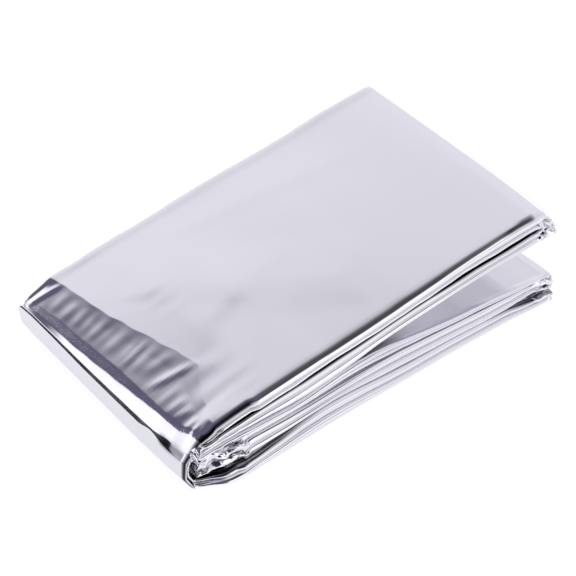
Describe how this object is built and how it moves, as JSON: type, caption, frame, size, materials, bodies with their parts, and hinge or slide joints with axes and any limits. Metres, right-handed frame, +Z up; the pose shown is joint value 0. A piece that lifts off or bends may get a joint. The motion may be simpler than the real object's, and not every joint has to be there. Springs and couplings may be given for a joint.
{
  "type": "emergency foil blanket",
  "caption": "Silver foil emergency blanket, folded into a flat rectangular packet that gapes at one end like a book.",
  "frame": {"origin": "the middle of the packet's box, on the surface that it lies on", "axes": "+X from the spine fold to the open end, +Y from the front long side to the back long side, +Z up"},
  "size_m": [0.1236, 0.085, 0.0332],
  "materials": {
    "foil_blanket": "bright satin metallised film"
  },
  "bodies": {
    "root": {"foil_blanket": "foil_blanket"}
  },
  "joints": []
}
